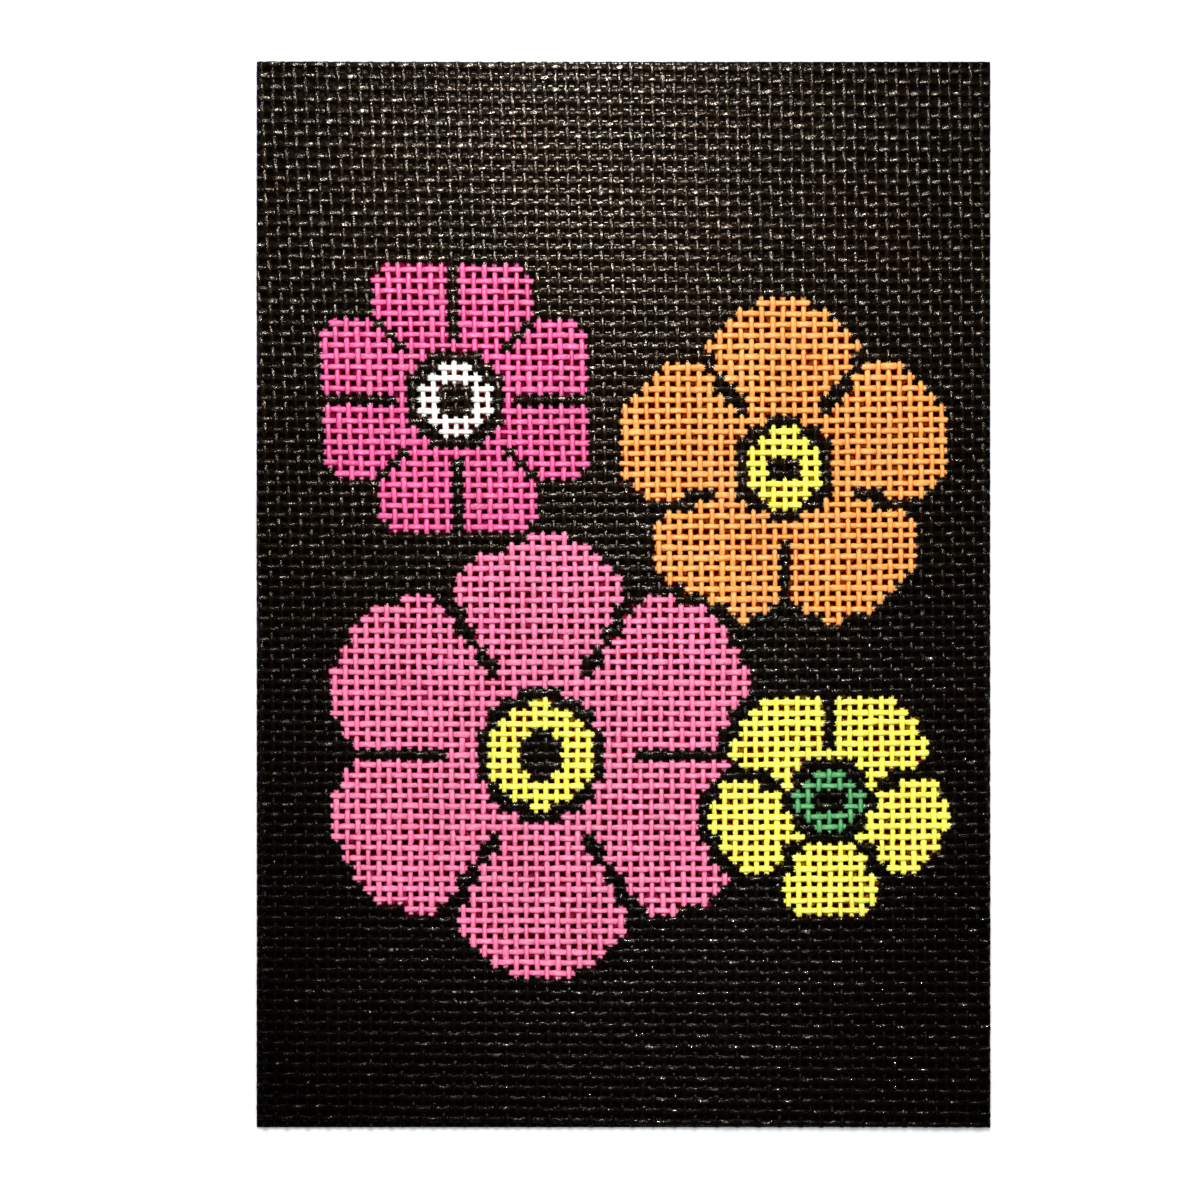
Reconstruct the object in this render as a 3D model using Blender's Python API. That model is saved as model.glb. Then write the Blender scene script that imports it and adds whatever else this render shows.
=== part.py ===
"""Needlepoint canvas panel: one flat cut length of painted, open plain-weave canvas.

Units are metres. The panel lies face up: +Z is up, +X runs along the weft threads to
the right, and +Y runs along the warp threads to the panel's top. The origin is the
centre of the back face, which lies flat on z = 0.
"""
import math

import bmesh
import bpy

# The weave, which sets the panel's size.
INCH = 0.0254
THREADS_PER_INCH = 13
WARP_THREADS = 70  # counted across the panel
WEFT_THREADS = 100  # counted up the panel
WARP_PITCH = INCH / THREADS_PER_INCH
WEFT_SPREAD = 1.017  # rows lie this much further apart than columns
WEFT_PITCH = WARP_PITCH * WEFT_SPREAD

# The cut panel.
PANEL_WIDTH = WARP_THREADS * WARP_PITCH
PANEL_LENGTH = WEFT_THREADS * WEFT_PITCH
THREAD_HEIGHT = 0.0006
PANEL_THICKNESS = 2 * THREAD_HEIGHT  # one thread over the other
CORNER_RADIUS = 0.0007  # a corner is rounded by less than one thread
CORNER_STEPS = 4
RIM_BEVEL = 0.0002  # the cut edge is pressed thin by this much
RIM_SEGMENTS = 2

# The black ground paint, which covers most of the face and fills the weave.
PAINT_COLOUR = (0.012, 0.011, 0.012, 1.0)
PAINT_ROUGHNESS = 0.38


def clear_scene():
    """Remove every object that the scene starts with."""
    for scene_object in list(bpy.data.objects):
        bpy.data.objects.remove(scene_object, do_unlink=True)


def canvas_material():
    """The acrylic-painted cotton of the panel."""
    material = bpy.data.materials.new("painted_canvas")
    material.use_nodes = True
    shader = material.node_tree.nodes["Principled BSDF"]
    shader.inputs["Base Color"].default_value = PAINT_COLOUR
    shader.inputs["Roughness"].default_value = PAINT_ROUGHNESS
    shader.inputs["Metallic"].default_value = 0.0
    return material


def rounded_outline(width, length, radius, steps):
    """Points of a rectangle with round corners, counter-clockwise from the right edge."""
    points = []
    corner_signs = ((1, -1), (1, 1), (-1, 1), (-1, -1))
    for quarter, (side_x, side_y) in enumerate(corner_signs):
        centre_x = side_x * (width / 2 - radius)
        centre_y = side_y * (length / 2 - radius)
        start_angle = math.radians(90 * (quarter - 1))
        for step in range(steps + 1):
            angle = start_angle + math.radians(90) * step / steps
            points.append((
                centre_x + radius * math.cos(angle),
                centre_y + radius * math.sin(angle),
            ))
    return points


def build_canvas():
    """The whole panel as one flat sheet, its back face on z = 0."""
    outline = rounded_outline(PANEL_WIDTH, PANEL_LENGTH, CORNER_RADIUS, CORNER_STEPS)
    sheet = bmesh.new()
    face = sheet.faces.new([sheet.verts.new((x, y, 0.0)) for x, y in outline])
    face.normal_update()
    mesh = bpy.data.meshes.new("canvas")
    sheet.to_mesh(mesh)
    sheet.free()
    mesh.materials.append(canvas_material())

    canvas = bpy.data.objects.new("canvas", mesh)
    bpy.context.scene.collection.objects.link(canvas)

    thickness = canvas.modifiers.new("cloth_thickness", "SOLIDIFY")
    thickness.thickness = PANEL_THICKNESS
    thickness.offset = 1.0  # grows up from the back face
    rim = canvas.modifiers.new("pressed_rim", "BEVEL")
    rim.width = RIM_BEVEL
    rim.segments = RIM_SEGMENTS
    rim.limit_method = "ANGLE"
    rim.angle_limit = math.radians(60)
    return canvas


def main():
    clear_scene()
    build_canvas()


main()
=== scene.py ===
"""Looks of the needlepoint canvas panel.

Every warp and weft thread of the plain weave is a closed, crimped tube that passes over
and under its neighbours, painted crossing by crossing. The dried ground paint that
closes the openings is a thin sheet low in the cloth. Units are metres, except where a
name ends in _mm or _MM.
"""

import math

import bpy
import numpy as np
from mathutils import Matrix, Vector


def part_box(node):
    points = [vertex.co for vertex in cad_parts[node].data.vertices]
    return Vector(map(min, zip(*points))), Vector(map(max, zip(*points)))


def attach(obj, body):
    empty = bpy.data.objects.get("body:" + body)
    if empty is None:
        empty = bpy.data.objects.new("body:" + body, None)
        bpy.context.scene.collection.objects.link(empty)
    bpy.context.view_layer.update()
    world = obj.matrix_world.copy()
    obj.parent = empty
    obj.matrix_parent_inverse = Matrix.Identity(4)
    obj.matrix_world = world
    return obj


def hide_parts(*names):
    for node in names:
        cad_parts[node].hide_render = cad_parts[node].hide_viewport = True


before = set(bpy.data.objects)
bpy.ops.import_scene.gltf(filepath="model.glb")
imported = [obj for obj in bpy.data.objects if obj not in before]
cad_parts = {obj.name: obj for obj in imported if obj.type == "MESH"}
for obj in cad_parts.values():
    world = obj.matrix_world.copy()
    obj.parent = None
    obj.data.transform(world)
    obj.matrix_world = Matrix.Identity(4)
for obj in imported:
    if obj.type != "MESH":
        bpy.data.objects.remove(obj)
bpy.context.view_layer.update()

# ---------------------------------------------------------------- sizes from the frame

MM = 0.001
LOW, HIGH = (np.array(corner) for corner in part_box("canvas"))
WIDTH, LENGTH, THICKNESS = HIGH - LOW
WARP_THREADS = 70
WEFT_THREADS = 100
WARP_PITCH = WIDTH / WARP_THREADS
WEFT_PITCH = LENGTH / WEFT_THREADS
SPARE_THREADS = 3  # made outside the panel, for where the weave drifts off it

# ---------------------------------------------------------------- the threads

WARP_WIDTH = 0.98 * MM
WEFT_WIDTH = 1.07 * MM
THREAD_HEIGHT = 0.68 * MM
WARP_CRIMP = 0.27 * MM  # how far a thread rises and dips about the middle of the cloth
WEFT_CRIMP = 0.26 * MM
RINGS_PER_CROSSING = 4
WANDER = 0.055 * MM  # sideways drift of a thread
WANDER_SPAN = 5  # crossings over which it changes
JITTER = 0.5  # quick drift, as a share of the slow one
JITTER_SPAN = 1
CREST_DROP = 0.10  # uneven crimp, as a share of it
CREST_SPAN = 1
SLUB = 0.09  # uneven width, as a share of it
SLUB_SPAN = 3
ROLL = math.radians(9)  # how far a thread turns about its own line
ROLL_SPAN = 2
LUMPS = 0.09  # uneven paint on a thread, as a share of its section
TWIST_ANGLE = math.radians(24)  # how the fibres run across a thread
CREST_ROOM = np.array((0.0, 0.0, 0.5 * MM))  # crests may rise above the nominal thickness
SHORTEST_THREAD = 2  # crossings that a thread needs inside the panel
SEED = 20

# How the weave lies in the panel: it isn't quite square to the cut edges.
WARP_TILT = 0.75 * MM  # the warps lean to the left by this at the top
WARP_FLARE = 3.7 * MM  # and by this much more in the top left corner
FLARE_SOFTNESS = 0.03  # how gently the flare sets in above the middle
WEFT_SLOPE_MIDDLE = -0.19 * MM  # how much lower the right end of a middle weft lies
WEFT_SLOPE_ENDS = 1.0 * MM  # and how much lower still it is at the top and the bottom
WEFT_BOW = 0.47 * MM  # how much higher both ends of a middle weft lie
ROWS_OPEN_UP = 0.02  # rows open out towards the top
ROWS_CLOSE_MIDDLE = 0.025  # and lie closer in the middle

# ---------------------------------------------------------------- the paint

# Linear colour and roughness of each paint.
PAINTS = {
    "black": (0.0028, 0.0016, 0.0011, 0.27),
    "pink": (0.88, 0.165, 0.385, 0.62),
    "magenta": (0.84, 0.050, 0.34, 0.62),
    "orange": (0.95, 0.39, 0.028, 0.62),
    "yellow": (0.97, 0.93, 0.070, 0.62),
    "white": (0.94, 0.92, 0.88, 0.62),
    "green": (0.012, 0.36, 0.08, 0.60),
}
PAINT_NAMES = list(PAINTS)
PAINT_TABLE = np.array([PAINTS[name] for name in PAINT_NAMES])
RAW_COTTON = (0.74, 0.69, 0.60, 0.85)  # the cut ends, colour and roughness
PALE_COTTON = (0.80, 0.76, 0.68, 1.0)  # bare fibres
DARK_COTTON = (0.66, 0.60, 0.50, 1.0)  # and the darker ones among them
COTTON_DULLNESS = 0.4  # what they add to the roughness
CREST_HIGHLIGHT = (1.0, 0.97, 0.86, 1.0)  # painted highlight on the upward-facing crests of coloured paint
RAGGED = 0.75  # how far fibres carry a paint over its border, in crossings
BORDER_WANDER = 0.5
BORDER_BLUR = 0.035
THREAD_RELIEF = 0.15 * MM  # height of the plies and brush marks on a thread
THREAD_SHINE = 0.65

GROUND_LEVEL = 0.42 * MM
GROUND_THICKNESS = 0.12 * MM
GROUND_STAIN = (0.55, 0.070, 0.075, 1.0)  # how much of the paint above soaks in
GROUND_SKIN = (0.60, 0.38, 0.35, 1.0)  # how much of it is left where it dried as a skin
GROUND_BLACK = (0.0014, 0.0004, 0.0002, 1.0)
GROUND_DISH = 0.12 * MM  # how far the film sags in an opening
GROUND_LEAN = 2.4  # how far the film rises towards the top of each opening, in dishes a row
GROUND_SHINE = 0.2

# Round the middle of the panel's top the black is painted browner: a painted pool of the near
# lamp's light, its colour wandering between brown and olive.
POOL_BROWN = (0.0414, 0.0128, 0.0005, 1.0)
POOL_OLIVE = (0.0286, 0.0157, 0.0010, 1.0)
POOL_MIDDLE = (-0.005, 0.075, 0.001)
POOL_REACH = 0.084
POOL_FALLOFF = -1.5  # the power of 1 + (distance / reach) squared
# Towards the panel's bottom, from one Y to the other, it lies thick and glossier.
GLOSSY_FROM = -0.02
GLOSSY_TO = -0.07
GLOSS_GAIN = 0.05  # taken off the roughness

FLOOR_GREY = (0.90, 0.90, 0.90, 1.0)
FLOOR_WHITE = (0.93, 0.93, 0.93, 1.0)
FLOOR_ROUGHNESS = 0.8
FLOOR_SHINE = 0.2

# The painted flowers, in threads from the panel's centre.
FLOWERS = (
    {"at": (15.5, 13.0), "radius": 16.0, "petals": 5, "turn": 18.0, "petal": "orange",
     "notch": 0.30, "disc": 3.7, "disc_paint": "yellow", "eye": 1.5},
    {"at": (-8.0, -14.5), "radius": 21.5, "petals": 6, "turn": 90.0, "petal": "pink",
     "notch": 0.28, "disc": 5.2, "disc_paint": "yellow", "eye": 2.3},
    {"at": (-15.5, 19.5), "radius": 13.5, "petals": 8, "turn": 22.5, "petal": "magenta",
     "notch": 0.24, "disc": 3.6, "disc_paint": "white", "eye": 1.6},
    {"at": (19.5, -19.0), "radius": 11.5, "petals": 5, "turn": 54.0, "petal": "yellow",
     "notch": 0.32, "disc": 3.2, "disc_paint": "green", "eye": 1.3},
)
PETAL_ROUNDNESS = 0.47
OUTLINE = 1.3  # black kept round a flower that lies over another
PETAL_GAP = 0.62  # half the width of the black line between petals
PETAL_GAP_START = 0.42  # where that line starts, as a share of the radius
PETAL_GAP_OVERRUN = 1.0  # how far it runs on past the petals
DISC_GAP = 1.05  # width of the black line round the disc


def paint_flowers():
    """The paint of every crossing, as a grid of indices into PAINT_TABLE."""
    across, up = np.meshgrid(
        np.arange(WARP_THREADS) - (WARP_THREADS - 1) / 2,
        np.arange(WEFT_THREADS) - (WEFT_THREADS - 1) / 2,
        indexing="ij",
    )
    art = np.zeros(across.shape, int)
    for flower in FLOWERS:
        dx = across - flower["at"][0]
        dy = up - flower["at"][1]
        reach = np.hypot(dx, dy)
        angle = np.arctan2(dy, dx) - math.radians(flower["turn"])
        phase = (angle * flower["petals"] / math.tau) % 1.0  # 0 at a petal's tip
        lobe = np.abs(np.cos(math.pi * phase)) ** PETAL_ROUNDNESS
        edge = flower["radius"] * (1 - flower["notch"] + flower["notch"] * lobe)
        off_gap = reach * np.sin(np.abs(phase - 0.5) * math.tau / flower["petals"])
        art[reach < edge + OUTLINE] = PAINT_NAMES.index("black")
        art[reach < edge] = PAINT_NAMES.index(flower["petal"])
        in_gap = (off_gap < PETAL_GAP) & (reach > flower["radius"] * PETAL_GAP_START)
        art[in_gap & (reach < edge + PETAL_GAP_OVERRUN)] = PAINT_NAMES.index("black")
        art[reach < flower["disc"] + DISC_GAP] = PAINT_NAMES.index("black")
        art[reach < flower["disc"]] = PAINT_NAMES.index(flower["disc_paint"])
        art[reach < flower["eye"]] = PAINT_NAMES.index("black")
    return art


ART = paint_flowers()

# ---------------------------------------------------------------- weaving


def settle(x, y):
    """Where a point of a perfectly square weave lies in this cloth."""
    across = x / (WIDTH / 2)
    up = y / (LENGTH / 2)
    above_middle = (up + np.sqrt(up**2 + FLARE_SOFTNESS)) / 2
    lean = WARP_TILT * up + WARP_FLARE * above_middle * ((1 - across) / 2) ** 2
    slope = (WEFT_SLOPE_MIDDLE + WEFT_SLOPE_ENDS * up**2) * across
    bow = WEFT_BOW * across**2 * (1 - up**2)
    opened = up + ROWS_OPEN_UP * (up**2 - 1) + ROWS_CLOSE_MIDDLE * (up**3 - up)
    return x - lean, opened * LENGTH / 2 - slope + bow


def section(flat):
    """Points round a thread, across and up, as shares of its half width and half height.

    The share given is how far the flat on its top reaches to each side.
    """
    return np.array((
        (1.00, -0.10), (0.88, 0.58), (flat, 0.98), (-flat, 0.98),
        (-0.88, 0.58), (-1.00, -0.10), (-0.50, -0.95), (0.50, -0.95),
    ))


# flat_crest is 0 for a thread that rises and dips in a pure wave, 1 for one that lies
# flat on each crossing, and negative for one with more pointed crests.
FAMILIES = {
    "warp": {
        "count": WARP_THREADS, "pitch": WARP_PITCH, "width": WARP_WIDTH,
        "crossings": WEFT_THREADS, "step": WEFT_PITCH, "crimp": -WARP_CRIMP,
        "section": section(0.30), "flat_crest": -0.5, "uv_folds": 2,
    },
    "weft": {
        "count": WEFT_THREADS, "pitch": WEFT_PITCH, "width": WEFT_WIDTH,
        "crossings": WARP_THREADS, "step": WARP_PITCH, "crimp": WEFT_CRIMP,
        "section": section(0.56), "flat_crest": 0.75, "uv_folds": 1,
    },
}


def uneven(rng, crossings, rings, span):
    """A random curve of about unit size, one value a ring, smooth over some crossings."""
    kernel = np.hanning(span + 2)[1:-1]
    values = np.convolve(rng.normal(size=crossings + span - 1), kernel, "valid")
    values /= math.sqrt((kernel**2).sum())
    return np.interp(rings, np.arange(crossings), values)


RING, WIDE, TURNED = 3, 4, 5  # columns of a thread's path, after its X, Y and Z


def thread_rings(kind, index, rng):
    """One thread inside the panel: its centre line, crossing numbers, width and roll."""
    family = FAMILIES[kind]
    first = -SPARE_THREADS
    spots = family["crossings"] + 2 * SPARE_THREADS
    rings = first + np.arange(spots * RINGS_PER_CROSSING) / RINGS_PER_CROSSING
    along = (rings - (family["crossings"] - 1) / 2) * family["step"]
    side = np.full_like(along, (index - (family["count"] - 1) / 2) * family["pitch"])
    side += WANDER * uneven(rng, spots, rings - first, WANDER_SPAN)
    side += WANDER * JITTER * uneven(rng, spots, rings - first, JITTER_SPAN)
    x, y = settle(side, along) if kind == "warp" else settle(along, side)
    wave = np.cos(math.pi * (rings + index))
    flat = family["flat_crest"]
    wave = (1 - flat) * wave + flat * np.sin(math.pi / 2 * wave)
    drop = CREST_DROP * np.abs(uneven(rng, spots, rings - first, CREST_SPAN))
    z = LOW[2] + THICKNESS / 2 + family["crimp"] * (1 - drop) * wave
    width = family["width"] * (1 + SLUB * uneven(rng, spots, rings - first, SLUB_SPAN))
    roll = ROLL * uneven(rng, spots, rings - first, ROLL_SPAN)

    # Cut where the centre line leaves the panel.
    room = np.minimum(WIDTH / 2 - np.abs(x), LENGTH / 2 - np.abs(y))
    inside = np.flatnonzero(room > 0)
    if len(inside) < SHORTEST_THREAD * RINGS_PER_CROSSING:
        return None
    start, end = inside[0], inside[-1]
    path = np.stack([x, y, z, rings, width, roll], 1)
    cuts = []
    for last_in, first_out in ((start, start - 1), (end, end + 1)):
        share = room[last_in] / (room[last_in] - room[first_out])
        cuts.append(path[last_in] + share * (path[first_out] - path[last_in]))
    return np.vstack([cuts[0], path[start:end + 1], cuts[1]])


def thread_surface(path, outline, rng):
    """Points of the tube round a centre line, as rings by section points."""
    centre = path[:, :3]
    tangent = np.gradient(centre, axis=0)
    tangent /= np.linalg.norm(tangent, axis=1, keepdims=True)
    side = np.cross(tangent, (0, 0, 1))
    side /= np.linalg.norm(side, axis=1, keepdims=True)
    above = np.cross(side, tangent)
    lump = 1 + LUMPS * rng.normal(size=(len(path), len(outline)))
    across = outline[:, 0] * path[:, WIDE, None] / 2 * lump
    up = outline[:, 1] * THREAD_HEIGHT / 2 * lump
    roll = path[:, TURNED, None]
    across, up = (
        across * np.cos(roll) - up * np.sin(roll), across * np.sin(roll) + up * np.cos(roll)
    )
    surface = (
        centre[:, None] + side[:, None] * across[..., None] + above[:, None] * up[..., None]
    )
    return np.clip(surface, LOW, HIGH + CREST_ROOM)  # trimmed along straight cuts


def crossing_paint(kind, index, crossing):
    """The paint at given crossings of one thread, clamped to the panel."""
    family = FAMILIES[kind]
    crossing = np.clip(crossing, 0, family["crossings"] - 1)
    index = np.clip(index, 0, family["count"] - 1)
    cells = ART[index, crossing] if kind == "warp" else ART[crossing, index]
    return PAINT_TABLE[cells]


CAP_STRIP = 0.03  # top of the bake map, kept for the cut ends
CAP_FILL = 0.4  # radius of a cut end there, as a share of its cell
BAND_FILL = 0.88  # how much of its band a thread's strip fills
BAND_MARGIN = 0.002  # kept clear at each end of a band
THREAD_SHIFT_MM = 31.7  # moves each thread along the textures, so that no two look alike

CORNERS = 4  # of each face along a thread
# At which end of the face each of them lies, along the thread and round it.
CORNERS_ALONG = (0, 1, 1, 0)
CORNERS_ROUND = (0, 0, 1, 1)

FIELDS = {"FLOAT_COLOR": "color", "FLOAT_VECTOR": "vector"}


def write_attribute(mesh, name, kind_of_data, domain, values):
    """Put values on a mesh, one for each point or each corner of a face."""
    attribute = mesh.attributes.new(name, kind_of_data, domain)
    attribute.data.foreach_set(FIELDS[kind_of_data], values.astype(np.float32).ravel())


def add_object(name, data):
    """A new object in the scene, made of a mesh, a light or a camera."""
    added = bpy.data.objects.new(name, data)
    bpy.context.scene.collection.objects.link(added)
    return added


def threads_piece(name, kind, indices, rng):
    """A set of threads as one mesh, with the paint and the thread's own coordinates on it."""
    outline = FAMILIES[kind]["section"]
    sides = len(outline)
    folds = FAMILIES[kind]["uv_folds"]
    step_mm = FAMILIES[kind]["step"] / MM
    around_mm = math.pi * (FAMILIES[kind]["width"] + THREAD_HEIGHT) / 2 / MM
    band = (1 - CAP_STRIP) / (len(indices) * folds)
    cap_cell = 1 / (2 * len(indices))
    points, loops, starts = [], [], []
    low, high, weave, uv = [], [], [], []
    made = 0
    loop_count = 0
    for order, index in enumerate(indices):
        path = thread_rings(kind, index, rng)
        if path is None:
            continue
        surface = thread_surface(path, outline, rng)
        count = len(path)
        points.append(surface.reshape(-1, 3))

        # Side faces, ring by ring.
        ring, spot = np.meshgrid(np.arange(count - 1), np.arange(sides), indexing="ij")
        ring, spot = ring.ravel(), spot.ravel()
        beside = (spot + 1) % sides
        quads = np.stack([
            ring * sides + spot, (ring + 1) * sides + spot,
            (ring + 1) * sides + beside, ring * sides + beside,
        ], 1) + made
        loops.append(quads.ravel())
        starts.append(loop_count + CORNERS * np.arange(len(quads)))
        loop_count += quads.size

        # Paint of the crossings before and after each face, and how far along it is.
        middle = (path[:-1, RING] + path[1:, RING]) / 2
        before = np.floor(middle).astype(int)[ring]
        low.append(np.repeat(crossing_paint(kind, index, before), CORNERS, 0))
        high.append(np.repeat(crossing_paint(kind, index, before + 1), CORNERS, 0))
        ends = np.stack([path[ring, RING], path[ring + 1, RING]], 1)[:, CORNERS_ALONG]
        around = np.stack([spot, spot + 1], 1)[:, CORNERS_ROUND] / sides
        weave.append(np.stack([
            ends * step_mm + THREAD_SHIFT_MM * index,
            around * around_mm,
            ends - before[:, None] - 0.5,
        ], 2).reshape(-1, 3))

        # The thread's strip in the bake map.
        fold_rings = math.ceil((count - 1) / folds)
        fold = ring // fold_rings
        u = np.stack([ring, ring + 1], 1)[:, CORNERS_ALONG] - (fold * fold_rings)[:, None]
        v = (order * folds + fold)[:, None] + 0.5 + (around - 0.5) * BAND_FILL
        u = BAND_MARGIN + (1 - 2 * BAND_MARGIN) * u / fold_rings
        uv.append(np.stack([u, v * band], 2).reshape(-1, 2))

        # Cut ends, bare cotton.
        for end, ring_start in enumerate((0, (count - 1) * sides)):
            spots = np.arange(sides) if end == 0 else np.arange(sides)[::-1]
            loops.append(made + ring_start + spots)
            starts.append(np.array([loop_count]))
            loop_count += sides
            low.append(np.tile(RAW_COTTON, (sides, 1)))
            high.append(np.tile(RAW_COTTON, (sides, 1)))
            disc = outline[spots]
            weave.append(np.column_stack([disc, np.zeros(sides)]))
            cap_centre = np.array([
                (2 * order + end + 0.5) * cap_cell, 1 - CAP_STRIP / 2,
            ])
            uv.append(cap_centre + CAP_FILL * min(cap_cell, CAP_STRIP) * disc)
        made += count * sides

    points, loops, starts = (np.concatenate(lists) for lists in (points, loops, starts))
    mesh = bpy.data.meshes.new(name)
    mesh.vertices.add(len(points))
    mesh.vertices.foreach_set("co", points.ravel())
    mesh.loops.add(len(loops))
    mesh.loops.foreach_set("vertex_index", loops)
    mesh.polygons.add(len(starts))
    mesh.polygons.foreach_set("loop_start", starts)
    mesh.update(calc_edges=True)
    mesh.shade_smooth()
    write_attribute(mesh, "paint_before", "FLOAT_COLOR", "CORNER", np.concatenate(low))
    write_attribute(mesh, "paint_after", "FLOAT_COLOR", "CORNER", np.concatenate(high))
    write_attribute(mesh, "weave", "FLOAT_VECTOR", "CORNER", np.concatenate(weave))
    uv_map = mesh.uv_layers.new(name="OFBake")
    uv_map.uv.foreach_set("vector", np.concatenate(uv).astype(np.float32).ravel())
    return add_object(name, mesh)


# ---------------------------------------------------------------- materials


class Nodes:
    """Short ways to add and join shader nodes of one material."""

    def __init__(self, name):
        self.material = bpy.data.materials.new(name)
        self.material.use_nodes = True
        self.tree = self.material.node_tree
        self.shader = self.tree.nodes["Principled BSDF"]

    def add(self, kind, **settings):
        node = self.tree.nodes.new("ShaderNode" + kind)
        for key, value in settings.items():
            setattr(node, key, value)
        return node

    def put(self, socket, value):
        """Join a socket to another one, or set its value."""
        if isinstance(value, bpy.types.NodeSocket):
            self.tree.links.new(value, socket)
        else:
            socket.default_value = value

    def math(self, operation, *values, clamp=False):
        node = self.add("Math", operation=operation, use_clamp=clamp)
        for socket, value in zip(node.inputs, values):
            self.put(socket, value)
        return node.outputs[0]

    def plus(self, first, *others):
        """The sum of values, added left to right."""
        for other in others:
            first = self.math("ADD", first, other)
        return first

    def times(self, first, *others):
        """The product of values, multiplied left to right."""
        for other in others:
            first = self.math("MULTIPLY", first, other)
        return first

    def mix(self, factor, first, second, blend="MIX"):
        """Blend the second colour over the first."""
        node = self.add("Mix", data_type="RGBA", blend_type=blend)
        self.put(node.inputs[0], factor)
        self.put(node.inputs[6], first)
        self.put(node.inputs[7], second)
        return node.outputs[2]

    def ramp(self, value, low, high, to_low=0.0, to_high=1.0):
        """Carry a value from one range over to another, and stop at its ends."""
        node = self.add("MapRange")
        for socket, given in zip(node.inputs, (value, low, high, to_low, to_high)):
            self.put(socket, given)
        return node.outputs[0]

    def noise(self, vector, scale, detail=2.0, roughness=0.5):
        """Noise between 0 and 1, most of it round a half."""
        node = self.add("TexNoise")
        self.put(node.inputs["Vector"], vector)
        self.put(node.inputs["Scale"], scale)
        self.put(node.inputs["Detail"], detail)
        self.put(node.inputs["Roughness"], roughness)
        return node.outputs["Fac"]

    def stretch(self, vector, scale):
        """Scale a vector, each axis by its own share."""
        node = self.add("VectorMath", operation="MULTIPLY")
        self.put(node.inputs[0], vector)
        self.put(node.inputs[1], scale)
        return node.outputs[0]

    def distance(self, first, second):
        node = self.add("VectorMath", operation="DISTANCE")
        self.put(node.inputs[0], first)
        self.put(node.inputs[1], second)
        return node.outputs["Value"]

    def axes(self, vector):
        """The X, Y and Z of a vector."""
        node = self.add("SeparateXYZ")
        self.put(node.inputs[0], vector)
        return node.outputs["X"], node.outputs["Y"], node.outputs["Z"]

    def brightness(self, colour):
        node = self.add("RGBToBW")
        self.put(node.inputs[0], colour)
        return node.outputs[0]

    def bump(self, height, distance):
        """Tilt the surface as a relief of the given height would."""
        node = self.add("Bump")
        node.inputs["Strength"].default_value = 1.0
        node.inputs["Distance"].default_value = distance
        self.put(node.inputs["Height"], height)
        self.put(self.shader.inputs["Normal"], node.outputs["Normal"])


def painted_lamp_pool(n, place):
    """How strong the painted pool of lamp light on the black is at a place, and its colour
    there.
    """
    away = n.math("DIVIDE", n.distance(place, POOL_MIDDLE), POOL_REACH)
    spread = n.plus(n.times(away, away), 1.0)
    pool_colour = n.mix(n.ramp(n.noise(place, 55.0, 2.0), 0.35, 0.65), POOL_BROWN, POOL_OLIVE)
    return n.math("POWER", spread, POOL_FALLOFF), pool_colour


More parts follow.
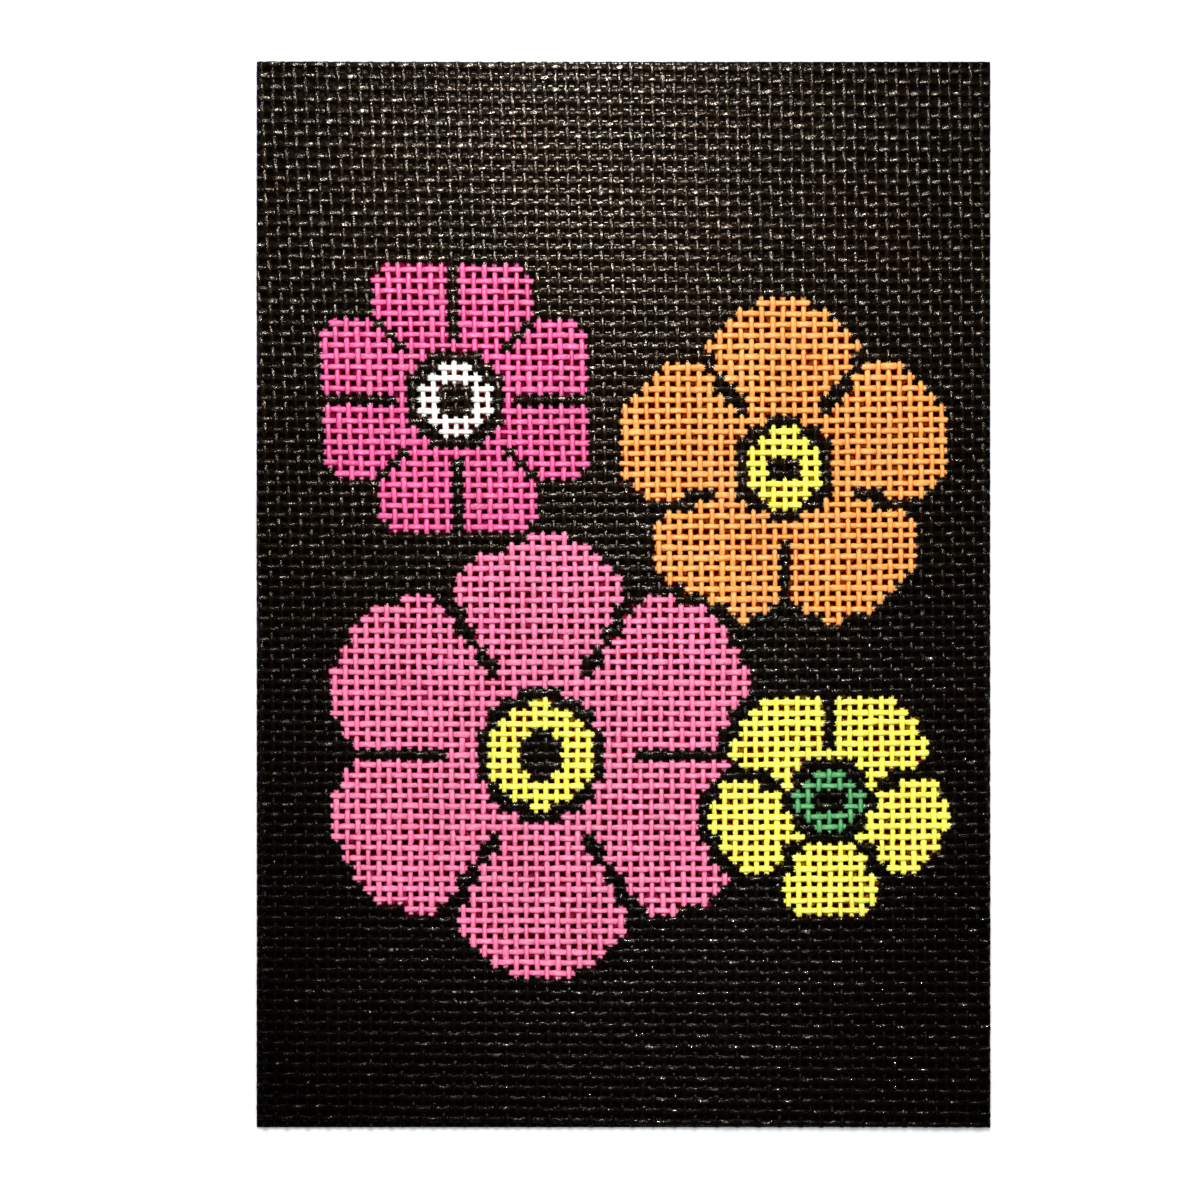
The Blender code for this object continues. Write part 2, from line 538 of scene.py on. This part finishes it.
def thread_material():
    """Acrylic paint on cotton threads, its colours meeting raggedly between crossings, with
    painted highlights, painted shade and a painted pool of lamp light.
    """
    n = Nodes("painted_thread")
    before = n.add("Attribute", attribute_name="paint_before")
    after = n.add("Attribute", attribute_name="paint_after")
    # Millimetres along the thread and round it, and crossings past the nearest border.
    weave = n.add("Attribute", attribute_name="weave").outputs["Vector"]
    past_border = n.axes(weave)[2]
    geometry = n.add("NewGeometry")
    place = geometry.outputs["Position"]
    up_panel, height = n.axes(place)[1:]
    facing_up = n.axes(geometry.outputs["Normal"])[2]

    # Where one paint gives way to the next, with fibres that carry it along.
    fibres = n.noise(n.stretch(weave, (0.9, 7.0, 0.0)), 1.0, 3.0, 0.6)
    ragged = n.times(n.math("SUBTRACT", fibres, 0.5), RAGGED)
    wander = n.times(n.math("SUBTRACT", n.noise(place, 420.0, 1.0), 0.5), BORDER_WANDER)
    along = n.plus(past_border, ragged, wander)
    change = n.ramp(along, -BORDER_BLUR, BORDER_BLUR)
    paint = n.mix(change, before.outputs["Color"], after.outputs["Color"])
    gloss = n.mix(change, before.outputs["Alpha"], after.outputs["Alpha"])

    # Brushed paint: broad and fine changes of tone.
    broad = n.noise(n.stretch(place, (1.0, 0.45, 1.0)), 95.0, 3.0, 0.55)
    fine = n.noise(n.stretch(weave, (1.6, 3.0, 0.0)), 1.0, 2.0, 0.6)
    tone = n.plus(n.ramp(broad, 0.25, 0.75, 0.86, 1.10), n.ramp(fine, 0.2, 0.8, -0.10, 0.10))
    paint = n.mix(1.0, paint, tone, "MULTIPLY")

    # Coloured paint gets a painted highlight on its upward-facing crests, and all paint is
    # darkened low in the cloth, a painted shade in the creases.
    coloured = n.ramp(n.brightness(paint), 0.02, 0.12)
    # Painted highlight: lighter where the thread faces up.
    crest_highlight = n.times(
        n.ramp(facing_up, 0.55, 1.0),
        coloured,
        n.ramp(fine, 0.25, 0.75, 0.07, 0.33),
    )
    paint = n.mix(crest_highlight, paint, CREST_HIGHLIGHT)
    # Painted shade: all paint is darkened low in the cloth, in the creases.
    crease_shade = n.ramp(height, 0.35 * MM, 0.80 * MM, 0.22, 1.0)
    paint = n.mix(1.0, paint, crease_shade, "MULTIPLY")
    # A painted pool of the near lamp's light on the black, strongest on upward-facing
    # surfaces and broken up by the brushwork.
    pool_share, pool_colour = painted_lamp_pool(n, place)
    pool_share = n.times(
        pool_share,
        n.ramp(broad, 0.3, 0.7, 0.7, 1.3),
        n.ramp(fibres, 0.40, 0.65, 0.2, 2.0),
        n.ramp(facing_up, 0.3, 1.0, 0.1, 1.0),
        n.ramp(coloured, 0.0, 1.0, 1.0, 0.0),
    )
    paint = n.mix(pool_share, paint, pool_colour, "ADD")

    # Bare fibres show where two paints meet, and here and there elsewhere.
    unlike = n.distance(before.outputs["Color"], after.outputs["Color"])
    border = n.ramp(unlike, 0.02, 0.2)
    close = n.ramp(n.math("ABSOLUTE", along), 0.16, 0.05)
    fleck = n.ramp(n.noise(n.stretch(weave, (1.3, 6.0, 0.0)), 1.3, 2.0), 0.60, 0.68)
    streaks = n.noise(n.stretch(weave, (0.8, 4.5, 0.0)), 0.9, 3.0)
    stray = n.ramp(streaks, 0.76, 0.80, 0.0, 0.5)
    bare = n.math("MAXIMUM", n.times(border, close, fleck), stray)
    cotton = n.mix(fine, PALE_COTTON, DARK_COTTON)
    paint = n.mix(bare, paint, cotton)

    # Little paint reaches the back of the cloth.
    seep = n.plus(facing_up, n.ramp(broad, 0.3, 0.7, -0.35, 0.35))
    behind = n.ramp(seep, -0.35, -0.75, 0.0, 0.75)
    low_down = n.ramp(height, 0.5 * MM, 0.3 * MM)
    paint = n.mix(n.times(behind, low_down), paint, cotton)
    n.put(n.shader.inputs["Base Color"], paint)

    # Twisted plies and brushed ridges under the paint.
    plies = n.add("TexWave", wave_type="BANDS", bands_direction="DIAGONAL")
    n.put(plies.inputs["Vector"], n.stretch(weave, (0.55, 0.75, 0.0)))
    n.put(plies.inputs["Scale"], 0.5)
    n.put(plies.inputs["Distortion"], 1.2)
    twist = n.add("Mapping")
    n.put(twist.inputs["Vector"], weave)
    n.put(twist.inputs["Rotation"], (0.0, 0.0, TWIST_ANGLE))
    twisted = twist.outputs["Vector"]
    strands = n.noise(n.stretch(twisted, (1.6, 8.0, 0.0)), 1.0, 3.0, 0.65)
    ridges = n.noise(n.stretch(twisted, (1.5, 3.8, 0.0)), 1.0, 1.5, 0.5)
    blobs = n.noise(place, 2200.0, 1.0)
    relief = n.plus(
        n.times(plies.outputs["Fac"], 0.2),
        ridges,
        n.times(strands, 0.35),
        n.times(blobs, 0.5),
    )
    n.bump(relief, THREAD_RELIEF)

    # The brush leaves glossy and dull patches, and bare fibres are dull.
    brushed = n.noise(n.stretch(weave, (2.2, 3.4, 0.0)), 1.0, 2.0, 0.6)
    rough = n.plus(gloss, n.ramp(brushed, 0.42, 0.62, -0.08, 0.20))
    gain = n.ramp(up_panel, GLOSSY_FROM, GLOSSY_TO, 0.0, GLOSS_GAIN)
    rough = n.math("SUBTRACT", rough, n.times(gain, n.ramp(coloured, 1.0, 0.0)))
    rough = n.math("ADD", rough, n.times(bare, COTTON_DULLNESS), clamp=True)
    n.put(n.shader.inputs["Roughness"], rough)
    n.put(n.shader.inputs["Specular IOR Level"], THREAD_SHINE)
    return n.material


def ground_material():
    """Dried ground paint in the openings: a dark dish in each, stained from above, with a
    painted pool of lamp light on the black.
    """
    n = Nodes("ground_paint")
    place = n.add("NewGeometry").outputs["Position"]
    above = n.add("Attribute", attribute_name="paint_above").outputs["Color"]
    coloured = n.ramp(n.brightness(above), 0.01, 0.10)

    # The film is low in the middle of an opening, and rises to the threads round it.
    crossing = n.add("Attribute", attribute_name="crossing").outputs["Vector"]
    column, row = n.axes(crossing)[:2]
    across, up = (n.math("COSINE", n.times(number, math.tau)) for number in (column, row))
    rise = n.math("MAXIMUM", n.ramp(across, -0.45, 0.2), n.ramp(up, -1.0, 0.0))
    banks = n.math("POWER", rise, 2.0)

    # The paint above has soaked in beside the threads, and left a few skins of itself.
    stain = n.noise(place, 600.0, 3.0, 0.6)
    deep = n.mix(1.0, n.mix(1.0, above, above, "MULTIPLY"), above, "MULTIPLY")
    soaked = n.mix(1.0, deep, GROUND_STAIN, "MULTIPLY")
    beside = n.times(banks, n.ramp(stain, 0.35, 0.7, 0.5, 1.5))
    soaked = n.mix(1.0, soaked, beside, "MULTIPLY")
    skins = n.ramp(n.noise(place, 750.0, 2.0, 0.6), 0.57, 0.64, 0.0, 0.45)
    soaked = n.mix(skins, soaked, n.mix(1.0, above, GROUND_SKIN, "MULTIPLY"))
    soaked = n.mix(1.0, soaked, GROUND_BLACK, "ADD")
    # The same painted pool of lamp light, on the black film.
    pool_share, pool_colour = painted_lamp_pool(n, place)
    pool_share = n.times(pool_share, n.ramp(coloured, 0.0, 1.0, 0.22, 0.0))
    n.put(n.shader.inputs["Base Color"], n.mix(pool_share, soaked, pool_colour, "ADD"))

    # Black paint keeps the shape and gloss of the film; coloured paint has run level.
    lumps = n.noise(place, 1500.0, 2.0, 0.6)
    leans = n.times(n.math("FRACT", row), GROUND_LEAN)
    shape = n.plus(banks, n.times(lumps, 0.5), leans)
    n.bump(n.times(shape, n.ramp(coloured, 0.0, 1.0, 1.0, 0.1)), GROUND_DISH)
    dull = n.ramp(stain, 0.40, 0.62, 0.15, 0.34)
    rough = n.times(dull, n.ramp(coloured, 1.0, 0.0, 0.3, 1.0))
    n.put(n.shader.inputs["Roughness"], rough)
    n.put(n.shader.inputs["Specular IOR Level"], GROUND_SHINE)
    return n.material


def floor_material():
    """Plain near-white paper."""
    n = Nodes("pale_floor")
    place = n.add("NewGeometry").outputs["Position"]
    grain = n.noise(place, 900.0, 3.0)
    n.put(n.shader.inputs["Base Color"], n.mix(grain, FLOOR_GREY, FLOOR_WHITE))
    n.put(n.shader.inputs["Roughness"], FLOOR_ROUGHNESS)
    n.put(n.shader.inputs["Specular IOR Level"], FLOOR_SHINE)
    return n.material


# ---------------------------------------------------------------- building the cloth

PIECES_PER_FAMILY = 3
thread_pieces = []
thread_look = thread_material()
for family_number, (kind, family) in enumerate(FAMILIES.items()):
    rng = np.random.default_rng(SEED + family_number)
    everyone = np.arange(-SPARE_THREADS, family["count"] + SPARE_THREADS)
    for part in range(PIECES_PER_FAMILY):
        chosen = everyone[part::PIECES_PER_FAMILY]
        piece = threads_piece(f"{kind}_threads_{part + 1}", kind, chosen, rng)
        piece.data.materials.append(thread_look)
        thread_pieces.append(piece)

UNSETTLE_ROUNDS = 6


def unsettle(x, y):
    """The crossing numbers, across and up, that lie at a point of the cloth."""
    square_x, square_y = x.copy(), y.copy()
    for _ in range(UNSETTLE_ROUNDS):
        lies_x, lies_y = settle(square_x, square_y)
        square_x += x - lies_x
        square_y += y - lies_y
    return (
        square_x / WARP_PITCH + (WARP_THREADS - 1) / 2,
        square_y / WEFT_PITCH + (WEFT_THREADS - 1) / 2,
    )


def ground_sheet():
    """The paint that dried across the openings, a thin sheet as wide as the panel."""
    columns, rows = WARP_THREADS, WEFT_THREADS
    x, y = np.meshgrid(
        np.linspace(-WIDTH / 2, WIDTH / 2, columns + 1),
        np.linspace(-LENGTH / 2, LENGTH / 2, rows + 1),
    )
    x, y = x.ravel(), y.ravel()
    points = [(px, py, LOW[2] + GROUND_LEVEL) for px, py in zip(x, y)]
    faces = [
        (r * (columns + 1) + c, r * (columns + 1) + c + 1,
         (r + 1) * (columns + 1) + c + 1, (r + 1) * (columns + 1) + c)
        for r in range(rows) for c in range(columns)
    ]
    mesh = bpy.data.meshes.new("ground_paint")
    mesh.from_pydata(points, [], faces)
    across, up = unsettle(x, y)
    near_warp = np.clip(np.round(across), 0, WARP_THREADS - 1).astype(int)
    near_weft = np.clip(np.round(up), 0, WEFT_THREADS - 1).astype(int)
    crossing = np.column_stack([across, up, np.zeros_like(up)])
    write_attribute(mesh, "crossing", "FLOAT_VECTOR", "POINT", crossing)
    paint_above = PAINT_TABLE[ART[near_warp, near_weft]]
    write_attribute(mesh, "paint_above", "FLOAT_COLOR", "POINT", paint_above)
    mesh.materials.append(ground_material())
    sheet = add_object("ground_paint", mesh)
    film = sheet.modifiers.new("film", "SOLIDIFY")
    film.thickness = GROUND_THICKNESS
    film.offset = 1.0  # grows up from the level
    return sheet


ground = ground_sheet()
for piece in [ground, *thread_pieces]:
    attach(piece, "root")
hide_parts("canvas")

# ---------------------------------------------------------------- floor, light, camera

FLOOR_SIZE = 4.0
edge = FLOOR_SIZE / 2
floor_mesh = bpy.data.meshes.new("floor")
floor_mesh.from_pydata(
    [(-edge, -edge, 0), (edge, -edge, 0), (edge, edge, 0), (-edge, edge, 0)],
    [], [(0, 1, 2, 3)],
)
floor_mesh.materials.append(floor_material())
floor = add_object("floor", floor_mesh)


def area_light(name, place, aim, size, watts, colour, spread=180.0):
    """A round soft light at a place, turned to a point, with its spread in degrees."""
    light = bpy.data.lights.new(name, "AREA")
    light.shape = "DISK"
    light.size = size
    light.energy = watts
    light.color = colour
    light.spread = math.radians(spread)
    lamp = add_object(name, light)
    lamp.location = place
    lamp.visible_camera = False
    lamp.rotation_euler = Vector(np.subtract(aim, place)).to_track_quat("-Z", "Y").to_euler()
    return lamp


WARM = (1.0, 0.93, 0.82)
COOL = (0.93, 0.97, 1.0)
NEUTRAL = (1.0, 0.97, 0.94)
CENTRE = (0.0, 0.0, 0.0)

# Three lamps past the panel's top edge give its shine alone: a small, low and near one the
# glints on the upper black, a wide one the sheen, and a narrow one the glints on the lower.
glints = area_light(
    "glints", place=(-0.012, 0.135, 0.15), aim=(-0.010, 0.08, 0.0), size=0.045,
    watts=0.222, colour=WARM, spread=88.0,
)
sheen = area_light(
    "sheen", place=(0.0, 0.8, 0.55), aim=CENTRE, size=0.6, watts=1.02, colour=NEUTRAL,
)
glow = area_light(
    "glow", place=(-0.04, 0.35, 0.30), aim=(0.012, -0.080, 0.0), size=0.02,
    watts=0.044, colour=NEUTRAL, spread=17.0,
)
for shine in (glints, sheen, glow):
    shine.visible_diffuse = False

# Two wide ones give the light, and no shine.
top = area_light(
    "top", place=(0.0, 0.74, 0.96), aim=CENTRE, size=0.95, watts=13.4, colour=COOL,
)
fill = area_light(
    "fill", place=(0.0, -0.7, 0.8), aim=(0.0, -0.08, 0.0), size=1.0, watts=1.5, colour=COOL,
)
for softbox in (top, fill):
    softbox.visible_glossy = False

WORLD_STRENGTH = 0.62
world = bpy.data.worlds.new("studio")
bpy.context.scene.world = world
world.use_nodes = True
background = world.node_tree.nodes["Background"]
background.inputs["Color"].default_value = (1.0, 1.0, 1.0, 1.0)
background.inputs["Strength"].default_value = WORLD_STRENGTH
world.cycles_visibility.glossy = False  # it gives soft light, and leaves the black deep

# The panel fills 734 of the image's 1200 pixels across, a little right of its centre.
IMAGE_PIXELS = 1200
PANEL_PIXELS = 734
PANEL_OFFSET_PIXELS = (23.5, 5.5)
CAMERA_HEIGHT = 0.60
SENSOR_MM = 36.0
GAMMA = 0.76  # deepens the middle tones, as in the photo
METRES_PER_PIXEL = WIDTH / PANEL_PIXELS
camera_data = bpy.data.cameras.new("camera")
camera_data.sensor_width = SENSOR_MM
camera_data.sensor_height = SENSOR_MM
camera_data.sensor_fit = "HORIZONTAL"
camera_data.lens = SENSOR_MM * (CAMERA_HEIGHT - THICKNESS) / (IMAGE_PIXELS * METRES_PER_PIXEL)
camera = add_object("camera", camera_data)
camera.location = (
    -PANEL_OFFSET_PIXELS[0] * METRES_PER_PIXEL,
    -PANEL_OFFSET_PIXELS[1] * METRES_PER_PIXEL,
    CAMERA_HEIGHT,
)
bpy.context.scene.camera = camera
bpy.context.scene.view_settings.view_transform = "Standard"
bpy.context.scene.view_settings.gamma = GAMMA
